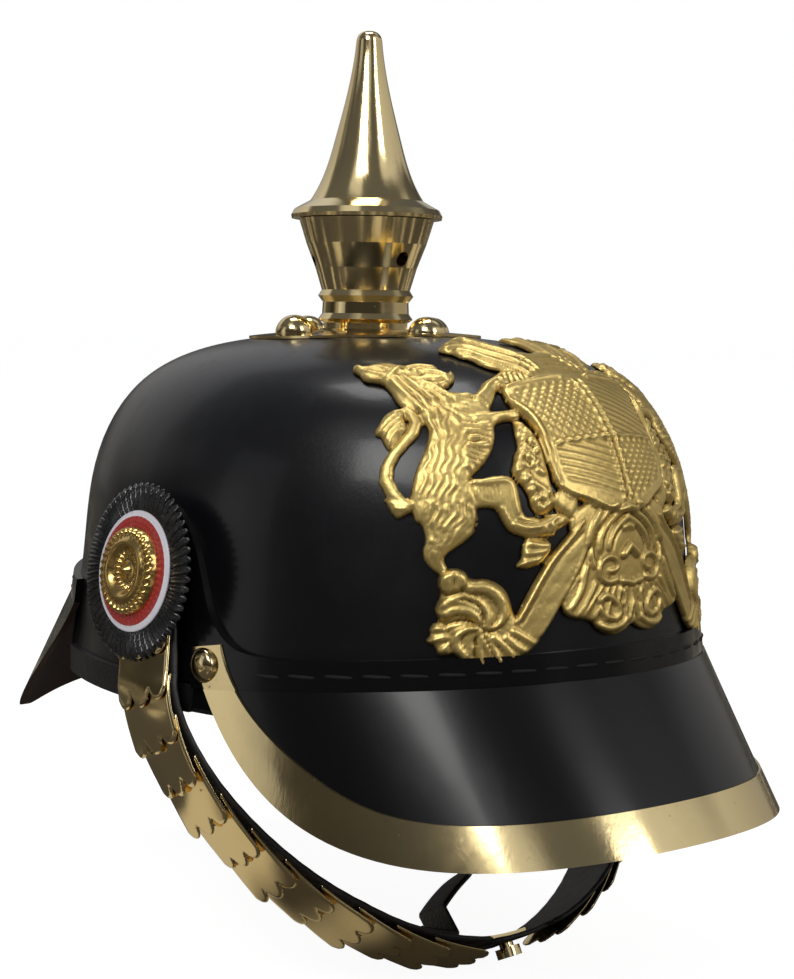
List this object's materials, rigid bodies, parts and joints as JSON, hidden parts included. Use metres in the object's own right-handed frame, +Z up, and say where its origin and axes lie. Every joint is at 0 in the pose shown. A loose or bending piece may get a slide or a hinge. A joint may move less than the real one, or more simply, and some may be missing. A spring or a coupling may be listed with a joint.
{
  "type": "spiked helmet",
  "caption": "Black leather spiked helmet with flared front and rear visors, brass spike, relief front plate, side cockades and scaled chin straps that swing.",
  "frame": {"origin": "centre of the head opening, in the plane of the shell's lower edge", "axes": "-Y to the front, +Z up to the spike, -X to the wearer's right"},
  "size_m": [0.2242, 0.3083, 0.3112],
  "materials": {
    "shell_leather": "semi-gloss black lacquered leather",
    "visor_leather": "glossy black patent leather, brown underneath",
    "binding_leather": "worn black leather",
    "strap_leather": "matte black leather",
    "liner_leather": "soft brown leather",
    "brass_fittings": "polished, lightly aged",
    "plate_brass": "satin gilt relief",
    "scale_brass": "polished, brown reflections",
    "cockade_black": "gloss black",
    "cockade_rings": "red centre with a white ring"
  },
  "bodies": {
    "helmet": {"skull_shell": "shell_leather", "rim_binding": "binding_leather", "front_visor": "visor_leather", "rear_visor": "visor_leather", "visor_trim": "brass_fittings", "trim_rivets": "brass_fittings", "spike_base": "brass_fittings", "base_studs": "brass_fittings", "base_stud_nuts": "brass_fittings", "spike_neck": "brass_fittings", "front_plate": "plate_brass", "plate_loops": "brass_fittings", "plate_pins": "brass_fittings", "side_posts": "brass_fittings", "side_nuts": "brass_fittings", "liner": "liner_leather"},
    "spike_thread": {"spike_screw": "brass_fittings"},
    "spike": {"spike_cone": "brass_fittings"},
    "right_chinscales": {"scale_backing_right": "strap_leather", "cockade_petals_right": "cockade_black", "cockade_centre_right": "cockade_rings", "rosette_right": "brass_fittings", "chin_tab": "brass_fittings", "chin_button": "brass_fittings", "adjuster_strap": "strap_leather", "scale_right_01": "scale_brass", "scale_right_02": "scale_brass", "scale_right_03": "scale_brass", "scale_right_04": "scale_brass", "scale_right_05": "scale_brass", "scale_right_06": "scale_brass", "scale_right_07": "scale_brass", "scale_right_08": "scale_brass", "scale_right_09": "scale_brass", "scale_right_10": "scale_brass", "scale_right_11": "scale_brass", "scale_right_12": "scale_brass", "scale_right_13": "scale_brass"},
    "left_chinscales": {"scale_backing_left": "strap_leather", "cockade_petals_left": "cockade_black", "cockade_centre_left": "cockade_rings", "rosette_left": "brass_fittings", "scale_left_01": "scale_brass", "scale_left_02": "scale_brass", "scale_left_03": "scale_brass", "scale_left_04": "scale_brass", "scale_left_05": "scale_brass", "scale_left_06": "scale_brass", "scale_left_07": "scale_brass", "scale_left_08": "scale_brass", "scale_left_09": "scale_brass", "scale_left_10": "scale_brass", "scale_left_11": "scale_brass", "scale_left_12": "scale_brass", "scale_left_13": "scale_brass"}
  },
  "joints": [
    {"name": "spike_lift", "type": "slide", "parent": "helmet", "child": "spike_thread", "axis": [0, 0, 1], "range_m": [0, 0.0045]},
    {"name": "spike_turn", "type": "hinge", "parent": "spike_thread", "child": "spike", "pos_m": [0, 0.0078, 0.155], "axis": [0, 0, 1], "range_deg": [0, 1081]},
    {"name": "right_chinscales_swing", "type": "hinge", "parent": "helmet", "child": "right_chinscales", "pos_m": [0, -0.0055, 0.04], "axis": [1, 0, 0], "range_deg": [-6, 60]},
    {"name": "left_chinscales_swing", "type": "hinge", "parent": "helmet", "child": "left_chinscales", "pos_m": [0, -0.0055, 0.04], "axis": [1, 0, 0], "range_deg": [-6, 60]}
  ],
  "couplings": [
    {"joint": "spike_turn", "follows": "spike_lift", "rad_per_m": 4188.8},
    {"joint": "left_chinscales_swing", "follows": "right_chinscales_swing", "ratio": 1}
  ]
}
